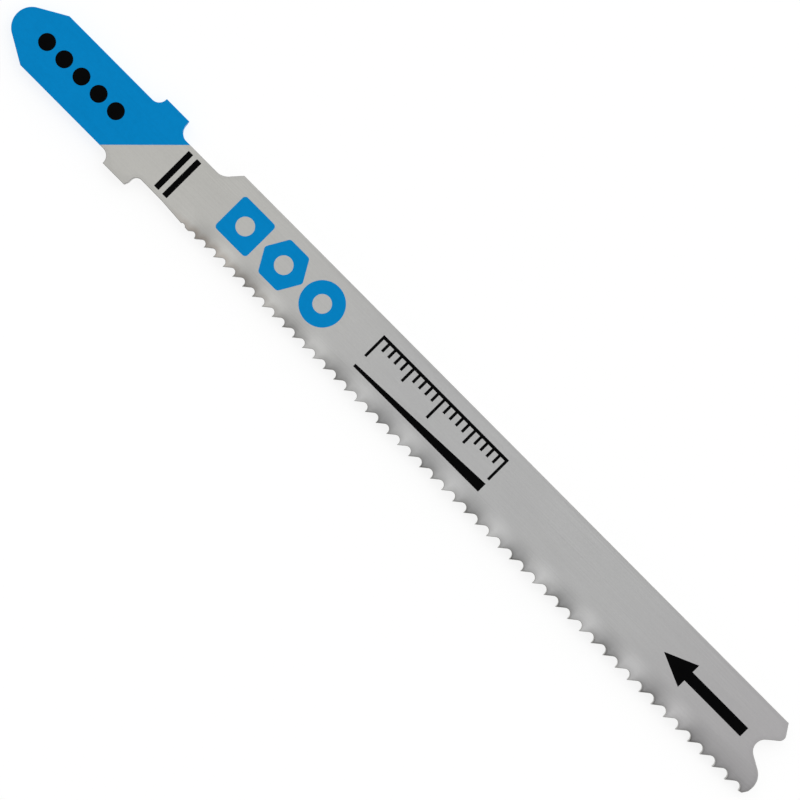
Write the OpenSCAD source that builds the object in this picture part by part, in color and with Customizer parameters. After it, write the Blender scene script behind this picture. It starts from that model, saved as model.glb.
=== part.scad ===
/* [Strip] */
// Thickness of the steel strip
thick = 1.0; // [0.8:0.05:1.3]
// Height of the straight back edge above the blade's axis
back_y = 3.98; // [3.7:0.02:4.3]
// Distance from the middle of the lugs to the end of the nose
blade_l = 76.3; // [76.3:0.1:84]

/* [Shank] */
// Width of the shank that the clamp holds
shank_w = 5.98; // [5.6:0.02:6.2]
// Distance from the middle of the lugs to the end of the shank
shank_l = 15.7; // [14:0.1:18]
// Radius of the rounded end of the shank
shank_end_r = 1.8; // [1.4:0.1:2.2]
// Half angle of the shank's pointed end, in degrees
shank_taper = 30; // [24:1:38]
// Width over the two lugs
lug_w = 7.82; // [7.3:0.02:8.2]
// Length of a lug along the blade
lug_l = 2.7; // [2.3:0.1:3.1]
// Fillet between the shank and a lug
lug_r = 0.84; // [0.5:0.02:0.9]

/* [Neck] */
// Height of the neck's back edge above the axis
neck_back = 2.53; // [2.3:0.01:2.7]
// Depth of the neck's toothed side below the axis
neck_front = 2.58; // [2.4:0.01:2.7]
// Fillet behind the lug on the back side
neck_back_r = 0.98; // [0.6:0.02:1.2]
// Fillet behind the lug on the toothed side
neck_front_r = 0.62; // [0.4:0.02:1]
// Radius of the curve from the neck up to the shoulder
shoulder_r = 1.4; // [1:0.1:1.8]
// Slope of the shoulder, in degrees from the axis
shoulder_slope = 48; // [40:1:60]
// Place of the shoulder's corner on the back edge
shoulder_x = 8.05; // [7.8:0.05:9]

/* [Teeth] */
// Number of tooth tips
teeth = 52; // [40:1:60]
// Place of the first tip
first_tip = 6.5; // [6.2:0.1:8]
// How strongly the pitch grows along the blade
pitch_growth = 0.206; // [0:0.002:0.25]
// How much of that growth levels off towards the nose
pitch_level = 0.038; // [0:0.002:0.06]
// Depth of the tip line below the axis at the heel
tip_heel = 2.83; // [2.75:0.01:3]
// Depth of the tip line below the axis at the nose
tip_nose = 3.38; // [3.2:0.01:3.5]
// Slope of a tooth's back, in degrees from the axis
back_angle = 39; // [38:1:50]
// Depth of the gap before a tooth at the heel
depth_heel = 0.55; // [0.5:0.01:0.6]
// Depth of the gap before a tooth at the nose
depth_nose = 0.68; // [0.6:0.01:0.72]
// Teeth at the heel over which the cut grows to its full depth
fade_teeth = 4; // [1:1:6]

// Steps along the round of a gullet
gullet_steps = 5; // [4:1:8]

/* [Set] */
// How far the waved edge leans to each side at the tips
set_amp = 0.2; // [0.05:0.01:0.3]
// Length of one full wave along the blade
set_wave = 5.53; // [4:0.01:8]
// A trough of the wave, where the tips lean to the lower face
set_trough = 36.7; // [34:0.1:40]
// Height on the blade where the lean begins, below the axis
set_line = 0.8; // [0.4:0.05:1.4]
// Place of the last trough, from which the lean stays the same up to the nose
set_end = 69.88; // [64:0.01:76]

/* [Nose] */
// How far the nose reaches past the back edge's end corner
nose_l = 1.75; // [1.4:0.05:2.2]
// Radius of the upper prong's end
prong_r = 0.58; // [0.4:0.02:0.7]
// Radius of the notch between the prong and the toe
notch_r = 1.04; // [0.8:0.02:1.2]
// Radius of the rounded toe
toe_r = 1.62; // [1.3:0.02:1.8]

/* [Hidden] */
$fn = 96;

steel = "#b3b3b0";

// ---- rules for the teeth ----
last_tip = blade_l - 0.66;
// place of tip i, where t runs from 0 at the first tip to 1 at the last
function tip_x(i) = let (t = i / (teeth - 1))
    first_tip + (last_tip - first_tip) * (t + pitch_growth * (t * t - t) - pitch_level * (t * t * t - t));
function pitch(i) = tip_x(i + 1) - tip_x(i);
// height of the tip line
function tip_y(x) = -tip_heel - (tip_nose - tip_heel) * (x - first_tip) / (last_tip - first_tip);
// depth of the gap after tip i
function depth(i) = depth_heel + (depth_nose - depth_heel) * i / (teeth - 1);
// how far the cutter stays out at the heel, where the gaps are still shallow
function stay_out(i) = depth(i) * max(0, 1 - (i + 1.6) / (fade_teeth + 0.6));

// the gap after tip i: [x, y] along its sloped back and its round gullet, up to the upright face of the next tooth
function gap(i) =
    let (p = pitch(i), x0 = tip_x(i), x1 = x0 + p, t = tan(back_angle), d = depth(i),
         r = (p * t - d) / (t + 1 / cos(back_angle) - 1),
         c = [x1 - r, tip_y(x1) + d - r - stay_out(i)],
         y0 = c[1] + r * cos(back_angle) - (c[0] - r * sin(back_angle) - x0) * t)
    concat([[x0, y0]], [for (k = [0 : gullet_steps])
        c + r * [cos(90 + back_angle - (90 + back_angle) * k / gullet_steps),
                 sin(90 + back_angle - (90 + back_angle) * k / gullet_steps)]]);

// ---- rules for the set ----
function smooth(t) = let (c = max(0, min(1, t))) c * c * (3 - 2 * c);
// the wave begins over a short run behind the heel
function swell(x) = smooth((x - 5.6) / 4);
// how far down the bent band a point is: 0 on the set line, 1 at the tips
function bend(y) = pow(max(0, (-set_line - y) / (3.2 - set_line)), 2);
function lean(x, y) = -set_amp * swell(x) * bend(y) * cos(360 * (min(x, set_end) - set_trough) / set_wave);

// ---- lugs and shoulder ----
// the lugs' face on the blade's side
rear = lug_l / 2 + 0.06;
// the shoulder's curve touches the neck and runs into the slope at an angle of 6 degrees
shoulder_c = [shoulder_x - (back_y - neck_back) / tan(shoulder_slope)
              - shoulder_r * (cos(6) - cos(shoulder_slope)) / sin(shoulder_slope), neck_back + shoulder_r];
// a point of the slope's line inside that curve
shoulder_in = shoulder_c + shoulder_r * cos(6) * [sin(shoulder_slope), -cos(shoulder_slope)];
// centres of the curves that lead from the lugs to the neck, and of the shank's round end
neck_back_c = [rear + neck_back_r, neck_back + neck_back_r];
neck_front_c = [rear + neck_front_r, -neck_front - neck_front_r];
shank_end = [-shank_l + shank_end_r, 0];

// ---- common tangent of two circles that lie on opposite sides of it ----
// from the circle of radius ra at a to the circle of radius rb at b: [point on a, point on b]
function cross_tangent(a, ra, b, rb, s) =
    let (d = norm(b - a), base = atan2(b[1] - a[1], b[0] - a[0]),
         w = acos((ra + rb) / d), t = base + s * w)
    [a + ra * [cos(t), sin(t)], b - rb * [cos(t), sin(t)]];

// ---- nose: corner of the back edge, and the centres of its three arcs ----
corner = [blade_l - nose_l, back_y];
prong = [blade_l - 1.62, 2.75];
notch = [blade_l - 1.44, 0.8];
toe = [blade_l - toe_r, -2.15];
// below its round end the toe runs down with a slight lean
toe_lean = 6;
toe_low = toe + toe_r * [cos(toe_lean), -sin(toe_lean)];
// the prong's end face passes the corner and touches the prong's round end
corner_d = norm(prong - corner);
corner_a = atan2(prong[1] - corner[1], prong[0] - corner[0]) + asin(prong_r / corner_d);
prong_touch = corner + sqrt(corner_d * corner_d - prong_r * prong_r) * [cos(corner_a), sin(corner_a)];
upper = cross_tangent(prong, prong_r, notch, notch_r, 1);
lower = cross_tangent(notch, notch_r, toe, toe_r, -1);

// points along an arc from angle a to angle b
function arc(c, r, a, b, n) = [for (k = [0 : n]) c + r * [cos(a + (b - a) * k / n), sin(a + (b - a) * k / n)]];
function angle_of(v) = atan2(v[1], v[0]);

// outline with its outward curves, down to below the tooth line;
// each hollow curve runs over the centre of its circle here, and the circles below turn it into an arc
module solid_2d() {
    // where the shank's slopes meet its sides
    sx = shank_end[0] - shank_end_r * sin(shank_taper) + (shank_w / 2 - shank_end_r * cos(shank_taper)) / tan(shank_taper);
    polygon(concat(
        [[sx, -shank_w / 2]],
        arc(shank_end, shank_end_r, 270 - shank_taper, 90 + shank_taper, 24),
        [[sx, shank_w / 2],
         [-lug_l / 2 - lug_r, shank_w / 2], [-lug_l / 2 - lug_r, shank_w / 2 + lug_r], [-lug_l / 2, shank_w / 2 + lug_r],
         [-lug_l / 2, lug_w / 2], [lug_l / 2, lug_w / 2], [rear, lug_w / 2 - 0.4],
         [rear, neck_back_c[1]], neck_back_c, [neck_back_c[0], neck_back],
         [shoulder_c[0], neck_back], shoulder_c, shoulder_in, [shoulder_x, back_y], corner],
        arc(prong, prong_r, angle_of(prong_touch - prong), angle_of(upper[0] - prong), 16),
        [upper[1], notch, lower[0]],
        arc(toe, toe_r, angle_of(lower[1] - toe), -toe_lean, 16),
        [[toe_low[0] - (toe_low[1] + tip_nose + 1) * tan(toe_lean), -tip_nose - 1],
         [8.2 + (tip_nose - tip_heel + 1) * 12, -tip_nose - 1], [8.2, tip_y(8.2)],
         [4.6, -neck_front - 0.02], [neck_front_c[0], -neck_front], neck_front_c, [rear, neck_front_c[1]],
         [rear, -lug_w / 2 + 0.4], [lug_l / 2 - 0.1, -lug_w / 2], [-lug_l / 2, -lug_w / 2],
         [-lug_l / 2, -shank_w / 2 - lug_r], [-lug_l / 2 - lug_r, -shank_w / 2 - lug_r], [-lug_l / 2 - lug_r, -shank_w / 2]]));
}

// hollow curves: beside the lugs, at the shoulder and in the nose's notch
module hollows_2d() {
    for (s = [-1, 1])
        translate([-lug_l / 2 - lug_r, s * (shank_w / 2 + lug_r)]) circle(lug_r);
    translate(neck_back_c) circle(neck_back_r);
    translate(neck_front_c) circle(neck_front_r);
    translate(shoulder_c) circle(shoulder_r);
    translate(notch) circle(notch_r);
}

// outline of the blade, all but its teeth
module outline_2d() {
    difference() {
        solid_2d();
        hollows_2d();
    }
}

// the strip: flat above the set line, and below it in waves that grow towards the tooth line;
// on its other three sides it reaches past the outline
module waved_strip() {
    xa = -shank_l - 2;
    yb = back_y + 1;
    deep = -tip_nose - 1.5;
    mid = -set_line - 0.95;
    // columns along the tooth line: [x, foot on the left side, foot on the right side]
    gaps = [for (i = [-1 : teeth - 2]) gap(i)];
    last = gap(teeth - 1);
    cols = concat(
        [[gaps[0][0][0], deep, gaps[0][0][1]]],
        [for (i = [0 : len(gaps) - 1]) each concat(
            [for (k = [1 : gullet_steps]) [gaps[i][k][0], gaps[i][k][1], gaps[i][k][1]]],
            [[gaps[i][gullet_steps + 1][0], gaps[i][gullet_steps + 1][1], i + 1 < len(gaps) ? gaps[i + 1][0][1] : last[0][1]]])],
        [[blade_l - 0.35, last[0][1] + (blade_l - 0.35 - last[0][0]) * tan(back_angle), last[0][1] + (blade_l - 0.35 - last[0][0]) * tan(back_angle)],
         [blade_l + 0.4, mid - 0.2, mid - 0.2]]);
    n = len(cols) - 1;
    x1 = cols[n][0];
    // each column: back side, set line, middle, foot on the left side, foot on the right side
    heights = [for (c = cols) [yb, -set_line, mid, c[1], c[2]]];
    ends = [for (z = [thick, 0]) each [[xa, yb, z], [xa, deep, z]]];
    grid = [for (z = [thick, 0]) for (i = [0 : n]) for (y = heights[i]) [cols[i][0], y, z + lean(cols[i][0], y)]];
    m = 5 * (n + 1);
    // point j of column i on the upper face; the lower face's point follows m places later
    pt = function (i, j) 4 + 5 * i + j;
    // whether the foot steps down at column i, as it does at the front of each tooth
    step = function (i) abs(cols[i][1] - cols[i][2]) > 0.0001;
    right = function (i) step(i) ? 4 : 3;
    upper = concat(
        [[0, pt(0, 0), pt(0, 1), pt(0, 2), pt(0, 4), pt(0, 3), 1]],
        [for (i = [0 : n - 1]) each concat(
            [[pt(i, 0), pt(i + 1, 0), pt(i + 1, 1), pt(i, 1)],
             [pt(i, 1), pt(i + 1, 1), pt(i + 1, 2)], [pt(i, 1), pt(i + 1, 2), pt(i, 2)]],
            i > 0 && step(i)
                ? [[pt(i, 2), pt(i + 1, 2), pt(i, 3)], [pt(i, 3), pt(i + 1, 2), pt(i + 1, 3)],
                   [pt(i, 3), pt(i + 1, 3), pt(i, 4)]]
                : [[pt(i, 2), pt(i + 1, 2), pt(i + 1, 3)], [pt(i, 2), pt(i + 1, 3), pt(i, right(i))]])]);
    // the same faces on the underside, turned over
    under = [for (f = upper) [for (k = [len(f) - 1 : -1 : 0]) f[k] < 4 ? f[k] + 2 : f[k] + m]];
    edge = concat([pt(0, 3), pt(0, 4)], [for (i = [1 : n]) each step(i) ? [pt(i, 3), pt(i, 4)] : [pt(i, 3)]]);
    walls = concat(
        [[0, 2, 4 + m, 4], [0, 1, 3, 2], [1, pt(0, 3), pt(0, 3) + m, 3]],
        [for (i = [0 : n - 1]) [pt(i, 0), pt(i, 0) + m, pt(i + 1, 0) + m, pt(i + 1, 0)]],
        [[pt(n, 0), pt(n, 0) + m, pt(n, 1) + m, pt(n, 2) + m, pt(n, 3) + m, pt(n, 3), pt(n, 2), pt(n, 1)]],
        [for (k = [0 : len(edge) - 2]) [edge[k], edge[k + 1], edge[k + 1] + m, edge[k] + m]]);
    polyhedron(points = concat(ends, grid), faces = concat(upper, under, walls), convexity = 10);
}

// the blade: the waved strip, cut to the outline
module blade() {
    color(steel) intersection() {
        waved_strip();
        translate([0, 0, -1]) linear_extrude(thick + 2) outline_2d();
    }
}

blade();
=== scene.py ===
import math

import bpy
import numpy as np
from mathutils import Matrix, Vector
from mathutils.geometry import delaunay_2d_cdt


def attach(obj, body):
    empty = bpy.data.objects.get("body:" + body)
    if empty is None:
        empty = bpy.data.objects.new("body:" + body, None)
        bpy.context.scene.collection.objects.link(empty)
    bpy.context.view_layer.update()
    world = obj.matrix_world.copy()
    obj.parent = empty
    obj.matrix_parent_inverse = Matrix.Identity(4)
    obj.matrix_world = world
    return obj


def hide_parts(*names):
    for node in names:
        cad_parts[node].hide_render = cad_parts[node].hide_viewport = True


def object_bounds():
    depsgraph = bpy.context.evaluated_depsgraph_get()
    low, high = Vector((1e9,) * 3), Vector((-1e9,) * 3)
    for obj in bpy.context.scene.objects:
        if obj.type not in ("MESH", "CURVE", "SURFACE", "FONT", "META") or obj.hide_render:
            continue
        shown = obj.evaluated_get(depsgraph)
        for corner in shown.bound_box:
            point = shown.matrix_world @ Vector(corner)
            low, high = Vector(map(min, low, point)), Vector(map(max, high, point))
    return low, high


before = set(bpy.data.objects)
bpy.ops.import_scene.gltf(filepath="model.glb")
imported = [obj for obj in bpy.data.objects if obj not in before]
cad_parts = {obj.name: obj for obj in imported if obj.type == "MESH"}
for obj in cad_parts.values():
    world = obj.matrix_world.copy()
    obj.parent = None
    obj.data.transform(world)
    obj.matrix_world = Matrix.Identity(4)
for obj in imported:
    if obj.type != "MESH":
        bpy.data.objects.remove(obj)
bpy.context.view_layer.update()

MM = 0.001
scene = bpy.context.scene
scene.view_settings.view_transform = "Standard"
scene.view_settings.look = "None"

# ---------------------------------------------------------------- camera
# Straight above the flat face, turned so that the blade runs from the upper left to the lower right.
# 800 pixels span 68.9 mm on the blade.
TURN = math.radians(45.16)
SPAN = 68.906 * MM
LENS, SENSOR = 200.0, 36.0
aim = Vector((31.198, -0.138, 1.0)) * MM
right = Vector((math.cos(TURN), math.sin(TURN), 0))
up = Vector((-math.sin(TURN), math.cos(TURN), 0))
back = Vector((0, 0, 1))
cam_data = bpy.data.cameras.new("camera")
cam_data.type = "PERSP"
cam_data.lens = LENS
cam_data.sensor_width = SENSOR
cam_data.clip_start, cam_data.clip_end = 0.01, 50
cam = bpy.data.objects.new("camera", cam_data)
scene.collection.objects.link(cam)
rot = Matrix((right, up, back)).transposed().to_4x4()
cam.matrix_world = Matrix.Translation(aim + back * (SPAN * LENS / SENSOR)) @ rot
scene.camera = cam

# ---------------------------------------------------------------- the blade's own sizes, in mm, as in the CAD
THICK, BACK_Y, BLADE_L = 1.0, 3.98, 76.3
SHANK_W, SHANK_L, SHANK_END_R, SHANK_TAPER = 5.98, 15.7, 1.8, 30
LUG_W, LUG_L, LUG_R = 7.82, 2.7, 0.84
NECK_BACK, NECK_FRONT, NECK_BACK_R, NECK_FRONT_R = 2.53, 2.58, 0.98, 0.62
SHOULDER_R, SHOULDER_SLOPE, SHOULDER_X = 1.4, 48, 8.05
TEETH, FIRST_TIP, PITCH_GROWTH, PITCH_LEVEL = 52, 6.5, 0.206, 0.038
TIP_HEEL, TIP_NOSE, BACK_ANGLE = 2.83, 3.38, 39
DEPTH_HEEL, DEPTH_NOSE, FADE_TEETH = 0.55, 0.68, 4
SET_AMP, SET_WAVE, SET_TROUGH, SET_LINE, SET_END = 0.2, 5.53, 36.7, 0.8, 69.88
NOSE_L, PRONG_R, NOTCH_R, TOE_R, TOE_LEAN = 1.75, 0.58, 1.04, 1.62, 6
LAST_TIP = BLADE_L - 0.66


def cosd(a):
    return math.cos(math.radians(a))


def sind(a):
    return math.sin(math.radians(a))


def tip_x(i):
    t = i / (TEETH - 1)
    return FIRST_TIP + (LAST_TIP - FIRST_TIP) * (t + PITCH_GROWTH * (t * t - t) - PITCH_LEVEL * (t**3 - t))


def tip_y(x):
    return -TIP_HEEL - (TIP_NOSE - TIP_HEEL) * (x - FIRST_TIP) / (LAST_TIP - FIRST_TIP)


def gap(i, steps=14):
    """The gap after tip i: its tip, then its round gullet up to the upright face of the next tooth."""
    x0, x1 = tip_x(i), tip_x(i + 1)
    p, t = x1 - x0, math.tan(math.radians(BACK_ANGLE))
    d = DEPTH_HEEL + (DEPTH_NOSE - DEPTH_HEEL) * i / (TEETH - 1)
    out = d * max(0.0, 1 - (i + 1.6) / (FADE_TEETH + 0.6))
    r = (p * t - d) / (t + 1 / cosd(BACK_ANGLE) - 1)
    cx, cy = x1 - r, tip_y(x1) + d - r - out
    y0 = cy + r * cosd(BACK_ANGLE) - (cx - r * sind(BACK_ANGLE) - x0) * t
    a = 90 + BACK_ANGLE
    return [(x0, y0)] + [(cx + r * cosd(a - a * k / steps), cy + r * sind(a - a * k / steps)) for k in range(steps + 1)]


def swell(x):
    t = np.clip((np.asarray(x, float) - 5.6) / 4, 0, 1)
    return t * t * (3 - 2 * t)


def swell_slope(x):
    t = np.clip((np.asarray(x, float) - 5.6) / 4, 0, 1)
    return 6 * t * (1 - t) / 4


def lean(x, y):
    """How far the waved edge is off the flat, in mm."""
    x, y = np.asarray(x, float), np.asarray(y, float)
    b = (np.maximum(0, (-SET_LINE - y) / (3.2 - SET_LINE))) ** 2
    return -SET_AMP * swell(x) * b * np.cos(2 * math.pi * (np.minimum(x, SET_END) - SET_TROUGH) / SET_WAVE)


def lean_normal(x, y):
    """Unit normal of the upper face."""
    x, y = np.asarray(x, float), np.asarray(y, float)
    w = 2 * math.pi / SET_WAVE
    q = np.maximum(0, (-SET_LINE - y) / (3.2 - SET_LINE))
    held = np.minimum(x, SET_END) - SET_TROUGH
    c, s = np.cos(w * held), np.where(x < SET_END, np.sin(w * held), 0.0)
    zx = -SET_AMP * q * q * (swell_slope(x) * c - swell(x) * w * s)
    zy = -SET_AMP * swell(x) * c * 2 * q * (-1 / (3.2 - SET_LINE))
    n = np.stack([-zx, -zy, np.ones_like(zx)], -1)
    return n / np.linalg.norm(n, axis=-1, keepdims=True)


# ---------------------------------------------------------------- outline
def arc(c, r, a, b, step=6.0, n=None):
    n = n or max(2, int(math.ceil(abs(b - a) / step)))
    return [(c[0] + r * cosd(a + (b - a) * k / n), c[1] + r * sind(a + (b - a) * k / n)) for k in range(n + 1)]


def angle_of(v):
    return math.degrees(math.atan2(v[1], v[0]))


def cross_tangent(a, ra, b, rb, s):
    d = math.dist(a, b)
    t = angle_of((b[0] - a[0], b[1] - a[1])) + s * math.degrees(math.acos((ra + rb) / d))
    return (a[0] + ra * cosd(t), a[1] + ra * sind(t)), (b[0] - rb * cosd(t), b[1] - rb * sind(t))


PAINT_LINE = 0.35  # the paint ends where x - y has this value


def outline():
    """The blade's outline as one closed run of points, the material on its left."""
    rear = LUG_L / 2 + 0.06
    sh = (SHOULDER_X - (BACK_Y - NECK_BACK) / math.tan(math.radians(SHOULDER_SLOPE))
          - SHOULDER_R * (cosd(6) - cosd(SHOULDER_SLOPE)) / sind(SHOULDER_SLOPE), NECK_BACK + SHOULDER_R)
    nb, nf = (rear + NECK_BACK_R, NECK_BACK + NECK_BACK_R), (rear + NECK_FRONT_R, -NECK_FRONT - NECK_FRONT_R)
    se = (-SHANK_L + SHANK_END_R, 0.0)
    sx = se[0] - SHANK_END_R * sind(SHANK_TAPER) + (SHANK_W / 2 - SHANK_END_R * cosd(SHANK_TAPER)) / math.tan(math.radians(SHANK_TAPER))
    corner, prong, notch, toe = (BLADE_L - NOSE_L, BACK_Y), (BLADE_L - 1.62, 2.75), (BLADE_L - 1.44, 0.8), (BLADE_L - TOE_R, -2.15)
    cd = math.dist(prong, corner)
    ca = angle_of((prong[0] - corner[0], prong[1] - corner[1])) + math.degrees(math.asin(PRONG_R / cd))
    touch = (corner[0] + math.sqrt(cd * cd - PRONG_R**2) * cosd(ca), corner[1] + math.sqrt(cd * cd - PRONG_R**2) * sind(ca))
    u0, u1 = cross_tangent(prong, PRONG_R, notch, NOTCH_R, 1)
    l0, l1 = cross_tangent(notch, NOTCH_R, toe, TOE_R, -1)
    pts = [(sx, -SHANK_W / 2)]
    pts += arc(se, SHANK_END_R, 270 - SHANK_TAPER, 90 + SHANK_TAPER, 5)
    pts += [(sx, SHANK_W / 2)]
    pts += arc((-LUG_L / 2 - LUG_R, SHANK_W / 2 + LUG_R), LUG_R, 270, 360)
    pts += [(-LUG_L / 2, LUG_W / 2), (LUG_L / 2, LUG_W / 2)]
    pts += arc(nb, NECK_BACK_R, 180, 270)
    pts += [(NECK_BACK + PAINT_LINE, NECK_BACK)]
    pts += arc(sh, SHOULDER_R, 270, 360 - (90 - SHOULDER_SLOPE) + 6)
    pts += [(SHOULDER_X, BACK_Y), corner]
    a, b = angle_of((touch[0] - prong[0], touch[1] - prong[1])), angle_of((u0[0] - prong[0], u0[1] - prong[1]))
    pts += arc(prong, PRONG_R, a, b, 6)
    a, b = angle_of((u1[0] - notch[0], u1[1] - notch[1])), angle_of((l0[0] - notch[0], l0[1] - notch[1]))
    a, b = a % 360, b % 360
    pts += arc(notch, NOTCH_R, a, b, 5)
    a = angle_of((l1[0] - toe[0], l1[1] - toe[1]))
    pts += arc(toe, TOE_R, a, -TOE_LEAN, 4)
    toe_low = (toe[0] + TOE_R * cosd(TOE_LEAN), toe[1] - TOE_R * sind(TOE_LEAN))
    # the last tooth's back meets the toe
    tl = math.tan(math.radians(TOE_LEAN))
    last = gap(TEETH - 1)[0]
    bx, by = BLADE_L - 0.35, last[1] + (BLADE_L - 0.35 - last[0]) * math.tan(math.radians(BACK_ANGLE))
    sl = ((-SET_LINE - 0.95 - 0.2) - by) / 0.75
    x = (toe_low[0] - (toe_low[1] - by + sl * bx) * tl) / (1 - sl * tl)
    pts += [(x, by + sl * (x - bx)), (bx, by)]
    # the teeth, from the heel to the nose
    row = []
    for i in range(-1, TEETH - 1):
        g = gap(i)
        row += ([(g[0][0], -9.0)] if i == -1 else []) + g
    row.append(last)

    def line(x):
        """The lower edge of the neck, which blunts the first shallow teeth."""
        if x <= 4.6:
            return -NECK_FRONT + (x - nf[0]) / (4.6 - nf[0]) * -0.02
        if x <= 8.2:
            return -NECK_FRONT - 0.02 + (x - 4.6) / 3.6 * (tip_y(8.2) + NECK_FRONT + 0.02)
        return tip_y(8.2) - (x - 8.2) / 12

    kept = []
    for p, q in zip(row, row[1:]):
        dp, dq = p[1] - line(p[0]), q[1] - line(q[0])
        if dp >= 0:
            kept.append(p)
        if (dp < 0) != (dq < 0):
            f = dp / (dp - dq)
            kept.append((p[0] + f * (q[0] - p[0]), p[1] + f * (q[1] - p[1])))
    low = [(nf[0], -NECK_FRONT), (4.6, -NECK_FRONT - 0.02)] + kept
    pts += low[::-1]
    pts += arc(nf, NECK_FRONT_R, 90, 180)
    pts += [(rear, -LUG_W / 2 + 0.4), (LUG_L / 2 - 0.1, -LUG_W / 2), (-LUG_L / 2, -LUG_W / 2)]
    pts += arc((-LUG_L / 2 - LUG_R, -SHANK_W / 2 - LUG_R), LUG_R, 0, 90)
    pts += [(-SHANK_W / 2 + PAINT_LINE, -SHANK_W / 2)]
    pts = pts[::-1]
    clean = []
    for p in pts:
        if not clean or math.dist(p, clean[-1]) > 2e-3:
            clean.append(p)
    if math.dist(clean[0], clean[-1]) < 2e-3:
        clean.pop()
    return np.array(clean)


base = outline()
n_base = len(base)
edge = np.roll(base, -1, 0) - base
edge /= np.linalg.norm(edge, axis=1, keepdims=True)
out_n = np.stack([edge[:, 1], -edge[:, 0]], 1)  # outward normal of the segment that starts at each point
prev_n = np.roll(out_n, 1, 0)
turn = np.degrees(np.arctan2(prev_n[:, 0] * out_n[:, 1] - prev_n[:, 1] * out_n[:, 0], (prev_n * out_n).sum(1)))
SHARP = np.abs(turn) > 20


def inset(w):
    """The outline moved inwards by w. Points past a corner's own crossing fold onto it."""
    m = (prev_n + out_n) / (1 + (prev_n * out_n).sum(1))[:, None]
    ring = base - w * m
    for c in np.nonzero(turn > 20)[0]:
        left = [base[(c - k) % n_base] for k in range(7)]
        # both branches are offset on their own, without the corner's mitre
        a = [ring[(c - k) % n_base] for k in range(6, 0, -1)] + [base[c] - w * prev_n[c]]
        b = [base[c] - w * out_n[c]] + [ring[(c + k) % n_base] for k in range(1, 7)]
        hit = None
        for i in range(len(a) - 1, 0, -1):
            for j in range(len(b) - 1):
                p, r = a[i - 1], a[i] - a[i - 1]
                q, s = b[j], b[j + 1] - b[j]
                den = r[0] * s[1] - r[1] * s[0]
                if abs(den) < 1e-12:
                    continue
                t = ((q[0] - p[0]) * s[1] - (q[1] - p[1]) * s[0]) / den
                v = ((q[0] - p[0]) * r[1] - (q[1] - p[1]) * r[0]) / den
                if -1e-9 <= t <= 1 + 1e-9 and -1e-9 <= v <= 1 + 1e-9:
                    hit = (i, j, p + t * r)
                    break
            if hit:
                break
        if hit:
            i, j, x = hit
            for k in range(i, len(a)):
                ring[(c - (len(a) - 1 - k)) % n_base] = x
            for k in range(0, j + 1):
                ring[(c + k) % n_base] = x
    return ring


# ---------------------------------------------------------------- rings: edge rounds and wall, top to bottom
ROUND = 0.05
STEPS = 3
angles = [math.pi / 2 * k / STEPS for k in range(STEPS + 1)]
rings = [inset(ROUND * (1 - math.sin(a))) for a in angles]
paint_at = [int(np.argmin(np.abs(base[:, 0] - base[:, 1] - PAINT_LINE) + 9 * (np.sign(base[:, 1]) != s))) for s in (1, -1)]
for r in rings:
    for k in paint_at:
        r[k, 0] = r[k, 1] + PAINT_LINE


def splits():
    """How many parts each segment is cut in, so that long walls follow the wave and stay well shaped."""
    length = np.linalg.norm(np.roll(base, -1, 0) - base, axis=1)
    low = (base[:, 1] < -SET_LINE) & (base[:, 0] > 5)
    return np.maximum(1, np.ceil(length / np.where(low, 0.12, 0.8))).astype(int)


cuts = splits()


def finer(ring):
    nxt = np.roll(ring, -1, 0)
    return np.concatenate([ring[i] + (nxt[i] - ring[i]) * (np.arange(c) / c)[:, None] for i, c in enumerate(cuts)])


seg_of = np.concatenate([[i] * c for i, c in enumerate(cuts)])
first = np.concatenate([[k == 0 for k in range(c)] for c in cuts])
fine_rings = [finer(r) for r in rings]
n_ring = len(seg_of)

# wall normals at both ends of each fine segment: shared across a smooth joint, the segment's own at a sharp one
start_n, end_n = np.zeros((n_ring, 2)), np.zeros((n_ring, 2))
soft = prev_n + out_n
soft /= np.linalg.norm(soft, axis=1, keepdims=True)
for k in range(n_ring):
    s = seg_of[k]
    start_n[k] = soft[s] if first[k] and not SHARP[s] else out_n[s]
    last_cut = first[(k + 1) % n_ring]
    s2 = seg_of[(k + 1) % n_ring]
    end_n[k] = soft[s2] if last_cut and not SHARP[s2] else out_n[s]

# ---------------------------------------------------------------- marks on the upper face, all plain shapes
BLUE, BLACK = 2, 3


def disc(cx, cy, r, n=56):
    return [(cx + r * math.cos(2 * math.pi * k / n), cy + r * math.sin(2 * math.pi * k / n)) for k in range(n)]


def poly(cx, cy, r, n, turned=0.0, fillet=0.0):
    """A regular polygon with rounded corners."""
    pts = []
    for k in range(n):
        a = turned + 360 * k / n
        if fillet <= 0:
            pts.append((cx + r * cosd(a), cy + r * sind(a)))
            continue
        d = r - fillet / cosd(180 / n)
        c = (cx + d * cosd(a), cy + d * sind(a))
        pts += arc(c, fillet, a - 180 / n, a + 180 / n, n=6)
    return pts


def rect(x0, y0, x1, y1, r=0.0):
    if r <= 0:
        return [(x0, y0), (x1, y0), (x1, y1), (x0, y1)]
    return (arc((x1 - r, y0 + r), r, -90, 0, n=6) + arc((x1 - r, y1 - r), r, 0, 90, n=6)
            + arc((x0 + r, y1 - r), r, 90, 180, n=6) + arc((x0 + r, y0 + r), r, 180, 270, n=6))


marks = []  # (outline, material); a later mark lies over an earlier one


def mark(points, kind):
    marks.append((np.array(points, float), kind))


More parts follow.
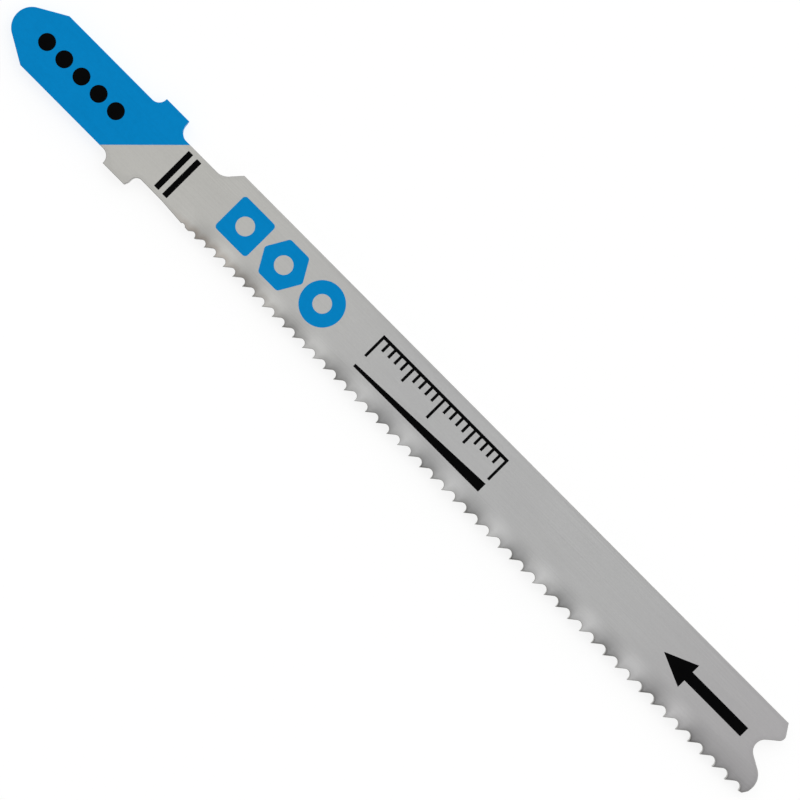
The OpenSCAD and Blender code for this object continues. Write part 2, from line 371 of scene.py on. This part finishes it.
for k in range(5):
    mark(disc(-12.1 + 2.1 * k, 0.05, 0.78, 40), BLACK)
for x in (3.15, 4.15):
    mark(rect(x, -2.15, x + 0.55, 2.1, 0.06), BLACK)
for cx, n, turned in ((11.2, 4, 45), (15.9, 6, 0), (20.6, 0, 0)):
    cy = 0.95
    mark(disc(cx, cy, 2.05, 72) if n == 0 else poly(cx, cy, 2.7 if n == 4 else 2.3, n, turned, 0.35), BLUE)
    mark(disc(cx, cy, 0.85, 44), 0)
for k in range(21):
    x = 26.4 + 0.75 * k
    long = 2.2 if k % 10 == 0 else 1.5 if k % 5 == 0 else 0.9
    mark(rect(x - 0.13, 2.6 - long, x + 0.13, 2.6), BLACK)
mark(rect(26.27, 2.55, 41.53, 2.85), BLACK)
mark([(26.27, -0.95), (41.53, -0.95), (41.53, 0.0), (26.27, -0.65)], BLACK)
mark([(62.6, 0.7), (65.6, 2.0), (65.6, 1.2), (72.4, 1.2), (72.4, 0.2), (65.6, 0.2), (65.6, -0.6)], BLACK)


def inside(pts, shape):
    """Which points lie in a closed shape."""
    x, y = pts[:, 0], pts[:, 1]
    res = np.zeros(len(pts), bool)
    a, b = shape, np.roll(shape, -1, 0)
    for (x0, y0), (x1, y1) in zip(a, b):
        if y0 == y1:
            continue
        cross = ((y0 > y) != (y1 > y)) & (x < (x1 - x0) * (y - y0) / (y1 - y0) + x0)
        res ^= cross
    return res


# ---------------------------------------------------------------- the flat faces: one triangulation for both
inner = fine_rings[0]
keep, ring_index = [], np.zeros(n_ring, int)
for k in range(n_ring):
    if keep and np.hypot(*(inner[k] - inner[keep[-1]])) < 1e-7:
        ring_index[k] = len(keep) - 1
    else:
        keep.append(k)
        ring_index[k] = len(keep) - 1
if np.hypot(*(inner[keep[-1]] - inner[keep[0]])) < 1e-7:
    ring_index[ring_index == len(keep) - 1] = 0
    keep.pop()
loop = inner[keep]

coords = [tuple(p) for p in loop]
n_loop = len(coords)
edges = []
for shape, _ in marks:
    at = len(coords)
    m = len(shape)
    # long sides are cut, so that no sliver runs along a mark
    pts = []
    for p, q in zip(shape, np.roll(shape, -1, 0)):
        c = max(1, int(math.ceil(np.hypot(*(q - p)) / 0.9)))
        pts += [p + (q - p) * j / c for j in range(c)]
    coords += [tuple(p) for p in pts]
    edges += [(at + j, at + (j + 1) % len(pts)) for j in range(len(pts))]
# the end of the paint
pa, pb = [ring_index[int(np.nonzero((seg_of == k) & first)[0][0])] for k in paint_at]
at = len(coords)
line_pts = [loop[pa] + (loop[pb] - loop[pa]) * j / 10 for j in range(1, 10)]
coords += [tuple(p) for p in line_pts]
chain = [int(pa)] + list(range(at, at + 9)) + [int(pb)]
edges += list(zip(chain, chain[1:]))

fixed = np.array(coords)


def grid(x0, x1, y0, y1, step):
    pts = []
    rows = int(round((y1 - y0) / (step * 0.87)))
    for r in range(rows + 1):
        y = y0 + (y1 - y0) * r / max(1, rows)
        xs = np.arange(x0 + (step / 2 if r % 2 else 0), x1, step)
        pts.append(np.stack([xs, np.full(len(xs), y)], 1))
    return np.concatenate(pts)


fill = np.concatenate([
    grid(-15, 75.6, -0.35, 3.5, 0.95),
    grid(-15, 5.0, -3.6, -1.0, 0.95),
    grid(5.2, 76.2, -1.45, -0.7, 0.2),
    grid(5.2, 76.2, -3.5, -1.55, 0.105),
])
fill = fill[inside(fill, loop)]
near = np.full(len(fill), 9.0)
dense = np.concatenate([loop + (np.roll(loop, -1, 0) - loop) * f for f in (0, 0.5)] + [fixed[n_loop:]])
for k in range(0, len(fill), 1000):
    d = fill[k:k + 1000, None, :] - dense[None]
    near[k:k + 1000] = np.sqrt((d**2).sum(-1)).min(1)
wanted = np.where(fill[:, 1] < -1.5, 0.05, np.where(fill[:, 1] < -0.6, 0.1, 0.3))
wanted = np.where(fill[:, 0] < 5, 0.3, wanted)
fill = fill[near > wanted]
coords += [tuple(p) for p in fill]

verts2, _, faces2, orig, _, _ = delaunay_2d_cdt([Vector(c) for c in coords], edges, [list(range(n_loop))], 1, 1e-7)
verts2 = np.array([tuple(v) for v in verts2])
back_of = {}
for k, o in enumerate(orig):
    for s in o:
        back_of[s] = k
assert all(k in back_of for k in range(n_loop)), "a ring point is lost"
tri = []
for f in faces2:
    a, b, c = (verts2[i] for i in f[:3])
    area = (b[0] - a[0]) * (c[1] - a[1]) - (b[1] - a[1]) * (c[0] - a[0])
    tri.append(tuple(f) if area > 0 else tuple(reversed(f)))
mid2 = np.array([verts2[list(f)].mean(0) for f in tri])
sel = inside(mid2, loop)
tri = [t for t, s in zip(tri, sel) if s]
mid2 = mid2[sel]

# ---------------------------------------------------------------- the mesh
verts, faces, mats, normals = [], [], [], []
n2 = len(verts2)
zt = lean(verts2[:, 0], verts2[:, 1])
nt = lean_normal(verts2[:, 0], verts2[:, 1])
top0 = 0
verts += [(x, y, z + THICK) for (x, y), z in zip(verts2, zt)]
bot0 = len(verts)
verts += [(x, y, z) for (x, y), z in zip(verts2, zt)]

STEEL, EDGE = 0, 1
face_kind = np.where(mid2[:, 0] - mid2[:, 1] < PAINT_LINE, BLUE, STEEL)
top_kind = face_kind.copy()
for shape, kind in marks:
    top_kind[inside(mid2, shape)] = kind
for t, k in zip(tri, top_kind):
    faces.append(tuple(top0 + i for i in t))
    mats.append(int(k))
    normals += [nt[i] for i in t]
for t, k in zip(tri, face_kind):
    t = tuple(reversed(t))
    faces.append(tuple(bot0 + i for i in t))
    mats.append(int(k))
    normals += [-nt[i] for i in t]

# rows of points from the upper face down to the lower one
rows = []
row_index = [np.array([top0 + back_of[int(ring_index[k])] for k in range(n_ring)])]
row_info = [(0, 1)]
for side, order in ((1, range(1, STEPS + 1)), (-1, range(STEPS, 0, -1))):
    for s in order:
        ring = fine_rings[s]
        z = lean(ring[:, 0], ring[:, 1])
        drop = ROUND * (1 - math.cos(angles[s]))
        z = z + THICK - drop if side == 1 else z + drop
        idx = np.zeros(n_ring, int)
        for k in range(n_ring):
            if k and np.hypot(*(ring[k] - ring[k - 1])) < 1e-7:
                idx[k] = idx[k - 1]
                continue
            idx[k] = len(verts)
            verts.append((ring[k, 0], ring[k, 1], z[k]))
        if np.hypot(*(ring[0] - ring[-1])) < 1e-7:
            idx[idx == idx[-1]] = idx[0]
        row_index.append(idx)
        row_info.append((s, side))
row_index.append(np.array([bot0 + back_of[int(ring_index[k])] for k in range(n_ring)]))
row_info.append((0, -1))


def row_normal(info, n_wall, face_n):
    s, side = info
    a = angles[s]
    n = np.array([n_wall[0], n_wall[1], 0.0]) * math.sin(a) + side * face_n * math.cos(a)
    return n / np.linalg.norm(n)


ring_n = lean_normal(fine_rings[0][:, 0], fine_rings[0][:, 1])
mid_edge = (base[seg_of] + 0.0)
blue_wall = np.zeros(n_ring, bool)
for k in range(n_ring):
    m = (fine_rings[-1][k] + fine_rings[-1][(k + 1) % n_ring]) / 2
    blue_wall[k] = m[0] - m[1] < PAINT_LINE
for r in range(len(row_index) - 1):
    up_row, low_row = row_index[r], row_index[r + 1]
    for k in range(n_ring):
        j = (k + 1) % n_ring
        corner = [(up_row[k], k, r, start_n[k]), (low_row[k], k, r + 1, start_n[k]),
                  (low_row[j], j, r + 1, end_n[k]), (up_row[j], j, r, end_n[k])]
        got, used = [], set()
        for c in corner:
            if c[0] not in used:
                used.add(c[0])
                got.append(c)
        if len(got) < 3:
            continue
        faces.append(tuple(int(c[0]) for c in got))
        mats.append(BLUE if blue_wall[k] else EDGE)
        normals += [row_normal(row_info[c[2]], c[3], ring_n[c[1]]) for c in got]

mesh = bpy.data.meshes.new("blade_steel")
mesh.from_pydata([(x * MM, y * MM, z * MM) for x, y, z in verts], [], faces)
mesh.polygons.foreach_set("material_index", mats)
mesh.polygons.foreach_set("use_smooth", [True] * len(faces))

# how near each point is to the outline: 1 on it, 0 from 1.2 mm inwards
co = np.array(verts)
rim = np.zeros(len(co), np.float32)
edge_pts = fine_rings[-1]
edge_pts = np.concatenate([edge_pts + (np.roll(edge_pts, -1, 0) - edge_pts) * f for f in (0, 0.33, 0.67)])
for k in range(0, len(co), 1000):
    d = co[k:k + 1000, None, :2] - edge_pts[None]
    rim[k:k + 1000] = np.clip(1 - np.sqrt((d**2).sum(-1)).min(1) / 1.2, 0, 1)
# how strongly painted shade darkens the toothed edge, and how far it leans down there, which weights the painted shade
# in the wave's troughs, both from 0 to 1, and its last, plainer stretch
def smooth(v, a, b):
    v = np.clip((v - a) / (b - a), 0, 1)
    return v * v * (3 - 2 * v)


ending = smooth(co[:, 0], SET_END - 0.6, SET_END + 1.6)
toothed = smooth(co[:, 0], 6, 17) * (1 - 0.6 * ending)
# the weight of the painted shade in the wave's troughs: 1 where the teeth lean down, 0 where they lean up
down = toothed * (0.5 + 0.5 * np.cos(2 * math.pi * (np.minimum(co[:, 0], SET_END) - SET_TROUGH) / SET_WAVE))
ending = ending * smooth(-co[:, 1], 1.0, 2.2)
for name, value in (("rim", rim), ("toothed", toothed), ("down", down), ("ending", ending)):
    attr = mesh.attributes.new(name, "FLOAT", "POINT")
    attr.data.foreach_set("value", value.astype(np.float32))
mesh.update()
mesh.normals_split_custom_set([tuple(n) for n in normals])
blade = bpy.data.objects.new("blade_steel", mesh)
scene.collection.objects.link(blade)
print("blade:", len(verts), "points,", sum(len(f) - 2 for f in faces), "triangles, rim ring", n_ring)


# ---------------------------------------------------------------- materials
def material(name):
    m = bpy.data.materials.new(name)
    m.use_nodes = True
    t = m.node_tree
    return m, t, t.nodes["Principled BSDF"]


def node(t, kind, **values):
    n = t.nodes.new(kind)
    for k, v in values.items():
        if k in n.inputs:
            n.inputs[k].default_value = v
        else:
            setattr(n, k, v)
    return n


def link(t, a, b):
    t.links.new(a, b)


def stretched(t, scale, along):
    """A noise in the object's own coordinates, with its scale along each axis, in 1/m."""
    tc = node(t, "ShaderNodeTexCoord")
    mp = node(t, "ShaderNodeMapping")
    mp.inputs["Scale"].default_value = along
    link(t, tc.outputs["Object"], mp.inputs["Vector"])
    nz = node(t, "ShaderNodeTexNoise", Scale=scale, Detail=4.0, Roughness=0.55)
    link(t, mp.outputs["Vector"], nz.inputs["Vector"])
    return nz


def ranged(t, value, a, b, c, d):
    r = node(t, "ShaderNodeMapRange")
    r.inputs["From Min"].default_value, r.inputs["From Max"].default_value = a, b
    r.inputs["To Min"].default_value, r.inputs["To Max"].default_value = c, d
    link(t, value, r.inputs["Value"])
    return r.outputs["Result"]


def times(t, *values):
    out = values[0]
    for v in values[1:]:
        m = node(t, "ShaderNodeMath", operation="MULTIPLY")
        link(t, out, m.inputs[0])
        link(t, v, m.inputs[1])
        out = m.outputs[0]
    return out


def added(t, a, b):
    m = node(t, "ShaderNodeMath", operation="ADD")
    link(t, a, m.inputs[0])
    link(t, b, m.inputs[1])
    return m.outputs[0]


def mixed(t, factor, a, b):
    m = node(t, "ShaderNodeMix", data_type="RGBA")
    for s, v in (("A", a), ("B", b)):
        sock = [i for i in m.inputs if i.name == s and i.type == "RGBA"][0]
        if hasattr(v, "is_linked"):
            link(t, v, sock)
        else:
            sock.default_value = (*v, 1)
    link(t, factor, m.inputs["Factor"])
    return [o for o in m.outputs if o.type == "RGBA"][0]


def scaled(t, colour, value):
    """A colour times a number."""
    m = node(t, "ShaderNodeVectorMath", operation="SCALE")
    link(t, colour, m.inputs[0])
    link(t, value, m.inputs["Scale"])
    return m.outputs[0]


def bumped(t, bsdf, parts):
    """Bumps in a chain: (height, depth in metres)."""
    before = None
    for height, distance in parts:
        b = node(t, "ShaderNodeBump", Strength=1.0, Distance=distance)
        link(t, height, b.inputs["Height"])
        if before is not None:
            link(t, before, b.inputs["Normal"])
        before = b.outputs["Normal"]
    link(t, before, bsdf.inputs["Normal"])


# satin ground steel: fine lines along the blade, soft cloudy tone; painted light and shade: lighter and warmer by the
# neck, darker towards the nose; painted shade: darker along every edge and towards the toothed edge, darkest at the
# teeth where the wave leans them down
steel, t, b = material("satin_steel")
b.inputs["Metallic"].default_value = 1.0
tc = node(t, "ShaderNodeTexCoord")
xyz = node(t, "ShaderNodeSeparateXYZ")
link(t, tc.outputs["Object"], xyz.inputs[0])
lines = stretched(t, 1.0, (110, 9000, 900)).outputs["Fac"]
fine = stretched(t, 1.0, (420, 26000, 900)).outputs["Fac"]
cloud = stretched(t, 1.0, (70, 160, 160)).outputs["Fac"]
grain = stretched(t, 1.0, (5200, 5200, 5200)).outputs["Fac"]
tone = times(t, ranged(t, lines, 0.3, 0.7, 0.975, 1.025), ranged(t, fine, 0.3, 0.7, 0.985, 1.015),
             ranged(t, cloud, 0.3, 0.7, 0.965, 1.03), ranged(t, grain, 0.3, 0.7, 0.98, 1.02))
# painted light and shade along the blade: the steel is painted lighter and warmer by the neck and darker towards the
# nose
neck_warm_painted_light = ranged(t, xyz.outputs["X"], 0.004, 0.030, 1.0, 0.0)
nose_painted_shade = ranged(t, xyz.outputs["X"], 0.056, 0.074, 0.0, 1.0)
colour = mixed(t, neck_warm_painted_light, (0.588, 0.588, 0.586), (0.648, 0.640, 0.607))
colour = mixed(t, nose_painted_shade, colour, (0.538, 0.527, 0.533))
rim_at = node(t, "ShaderNodeAttribute", attribute_name="rim")
toothed_at = node(t, "ShaderNodeAttribute", attribute_name="toothed")
down_at = node(t, "ShaderNodeAttribute", attribute_name="down")
low = ranged(t, xyz.outputs["Y"], -0.0022, -0.0030, 0.0, 1.0)
near_teeth = ranged(t, xyz.outputs["Y"], -0.0012, -0.0020, 0.0, 1.0)
shade = node(t, "ShaderNodeMath", operation="POWER")
link(t, rim_at.outputs["Fac"], shade.inputs[0])
shade.inputs[1].default_value = 2.0
# painted shade: the steel darkens towards the toothed edge, most at its rim
teeth_painted_shade = times(t, shade.outputs[0], near_teeth, toothed_at.outputs["Fac"])
tone = times(t, tone, ranged(t, teeth_painted_shade, 0.0, 1.0, 1.0, 0.77))
# a brown tinge in the first gullets
heel = times(t, ranged(t, xyz.outputs["X"], 0.007, 0.021, 1.0, 0.0), ranged(t, xyz.outputs["X"], 0.0055, 0.0085, 0.0, 1.0),
             ranged(t, rim_at.outputs["Fac"], 0.45, 0.95, 0.0, 1.0), near_teeth)
colour = mixed(t, heel, colour, (0.500, 0.445, 0.395))
# painted shade: the teeth's rim turns near black where the wave leans them down
trough_painted_shade = times(t, ranged(t, rim_at.outputs["Fac"], 0.84, 0.97, 0.0, 1.0), low, down_at.outputs["Fac"])
colour = mixed(t, trough_painted_shade, colour, (0.235, 0.225, 0.215))
ending_at = node(t, "ShaderNodeAttribute", attribute_name="ending")
# painted shade: a band along every edge 4.5 % darker; the last stretch of the toothed edge 11 % lighter
tone = times(t, tone, ranged(t, rim_at.outputs["Fac"], 0.62, 0.80, 1.0, 0.955),
             ranged(t, ending_at.outputs["Fac"], 0.0, 1.0, 1.0, 1.11))
link(t, scaled(t, colour, tone), b.inputs["Base Color"])
rough = added(t, ranged(t, lines, 0.3, 0.7, 0.17, 0.21), ranged(t, grain, 0.3, 0.7, 0.14, 0.18))
link(t, rough, b.inputs["Roughness"])
bumped(t, b, [(lines, 0.000004), (fine, 0.000002), (grain, 0.0000025)])

# edges: sheared and milled across the strip, so the marks run from face to face
milled, t, b = material("milled_edge")
b.inputs["Metallic"].default_value = 1.0
cross = stretched(t, 1.0, (14000, 14000, 600)).outputs["Fac"]
broad = stretched(t, 1.0, (2600, 2600, 500)).outputs["Fac"]
tone = times(t, ranged(t, cross, 0.3, 0.7, 0.86, 1.1), ranged(t, broad, 0.3, 0.7, 0.9, 1.08))
base_mix = mixed(t, broad, (0.44, 0.43, 0.415), (0.52, 0.515, 0.505))
link(t, scaled(t, base_mix, tone), b.inputs["Base Color"])
link(t, ranged(t, cross, 0.3, 0.7, 0.34, 0.5), b.inputs["Roughness"])
bumped(t, b, [(cross, 0.000012), (broad, 0.00001)])

# paint: thin, nearly even, with a fine orange peel and a slightly thinner coat in places
paint, t, b = material("blue_paint")
cloud = stretched(t, 1.0, (260, 420, 420)).outputs["Fac"]
peel = stretched(t, 1.0, (2600, 2600, 2600)).outputs["Fac"]
streak = stretched(t, 1.0, (150, 5200, 900)).outputs["Fac"]
b.inputs["Specular IOR Level"].default_value = 0.03
colour = mixed(t, cloud, (0.000, 0.280, 0.690), (0.002, 0.302, 0.735))
tone = times(t, ranged(t, peel, 0.3, 0.7, 0.975, 1.025), ranged(t, streak, 0.3, 0.7, 0.98, 1.02))
# the coat thins on the sharp edge
worn = node(t, "ShaderNodeAttribute", attribute_name="rim")
speckle = stretched(t, 1.0, (3200, 3200, 3200)).outputs["Fac"]
thin = times(t, ranged(t, worn.outputs["Fac"], 0.95, 1.0, 0.0, 1.0), ranged(t, speckle, 0.50, 0.62, 0.0, 0.35))
colour = mixed(t, thin, scaled(t, colour, tone), (0.16, 0.33, 0.60))
link(t, colour, b.inputs["Base Color"])
link(t, ranged(t, peel, 0.3, 0.7, 0.34, 0.44), b.inputs["Roughness"])
bumped(t, b, [(peel, 0.000007), (streak, 0.000003)])

# ink: matt black, not quite closed
ink, t, b = material("black_ink")
cloud = stretched(t, 1.0, (900, 900, 900)).outputs["Fac"]
speck = stretched(t, 1.0, (9000, 9000, 9000)).outputs["Fac"]
colour = mixed(t, cloud, (0.0012, 0.0012, 0.0014), (0.0026, 0.0026, 0.0028))
link(t, scaled(t, colour, ranged(t, speck, 0.3, 0.75, 0.8, 1.5)), b.inputs["Base Color"])
link(t, ranged(t, speck, 0.3, 0.7, 0.45, 0.6), b.inputs["Roughness"])
b.inputs["Specular IOR Level"].default_value = 0.02
bumped(t, b, [(speck, 0.000003)])

for m in (steel, milled, paint, ink):
    mesh.materials.append(m)

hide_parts("blade")
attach(blade, "root")

# ---------------------------------------------------------------- floor
floor_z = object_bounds()[0].z
fm = bpy.data.meshes.new("floor")
fm.from_pydata([(-2, -2, floor_z), (2, -2, floor_z), (2, 2, floor_z), (-2, 2, floor_z)], [], [(0, 1, 2, 3)])
floor = bpy.data.objects.new("floor", fm)
scene.collection.objects.link(floor)
pale, t, b = material("pale_floor")
haze = stretched(t, 1.0, (12, 12, 12)).outputs["Fac"]
link(t, mixed(t, haze, (0.27, 0.27, 0.27), (0.29, 0.29, 0.29)), b.inputs["Base Color"])
b.inputs["Roughness"].default_value = 0.9
b.inputs["Specular IOR Level"].default_value = 0.1
b.inputs["Emission Color"].default_value = (1, 1, 1, 1)
b.inputs["Emission Strength"].default_value = 0.80
fm.materials.append(pale)

# ---------------------------------------------------------------- light
world = bpy.data.worlds.new("studio")
scene.world = world
world.use_nodes = True
t = world.node_tree
bg = t.nodes["Background"]
outp = t.nodes["World Output"]
tc = node(t, "ShaderNodeTexCoord")
sep = node(t, "ShaderNodeSeparateXYZ")
link(t, tc.outputs["Generated"], sep.inputs[0])
ramp = node(t, "ShaderNodeValToRGB")
link(t, ranged(t, sep.outputs["Y"], -1, 1, 0, 1), ramp.inputs["Fac"])
stops = [(-1.0, 0.62), (-0.62, 0.44), (-0.40, 0.28), (-0.22, 0.44), (-0.05, 0.70), (0.12, 0.81), (0.30, 1.05), (0.50, 1.04), (1.0, 0.94)]
els = ramp.color_ramp.elements
while len(els) > 1:
    els.remove(els[-1])
els[0].position = (stops[0][0] + 1) / 2
els[0].color = (stops[0][1],) * 3 + (1,)
for p, v in stops[1:]:
    e = els.new((p + 1) / 2)
    e.color = (v, v, v, 1)
link(t, ramp.outputs["Color"], bg.inputs["Color"])
link(t, ranged(t, sep.outputs["Z"], 0.0, 0.5, 0.55, 1.0), bg.inputs["Strength"])
plain = node(t, "ShaderNodeBackground")
plain.inputs["Color"].default_value = (0.93, 0.93, 0.93, 1)
lp = node(t, "ShaderNodeLightPath")
mx = node(t, "ShaderNodeMixShader")
link(t, lp.outputs["Is Camera Ray"], mx.inputs[0])
link(t, bg.outputs[0], mx.inputs[1])
link(t, plain.outputs[0], mx.inputs[2])
link(t, mx.outputs[0], outp.inputs["Surface"])

key_data = bpy.data.lights.new("key", "AREA")
key_data.shape = "RECTANGLE"
key_data.size, key_data.size_y = 0.5, 0.4
key_data.energy = 0.26
key = bpy.data.objects.new("key", key_data)
scene.collection.objects.link(key)
key.location = aim + Vector((0.04, 0.40, 0.66))
key.rotation_mode = "QUATERNION"
key.rotation_quaternion = (key.location - aim).to_track_quat("Z", "Y")
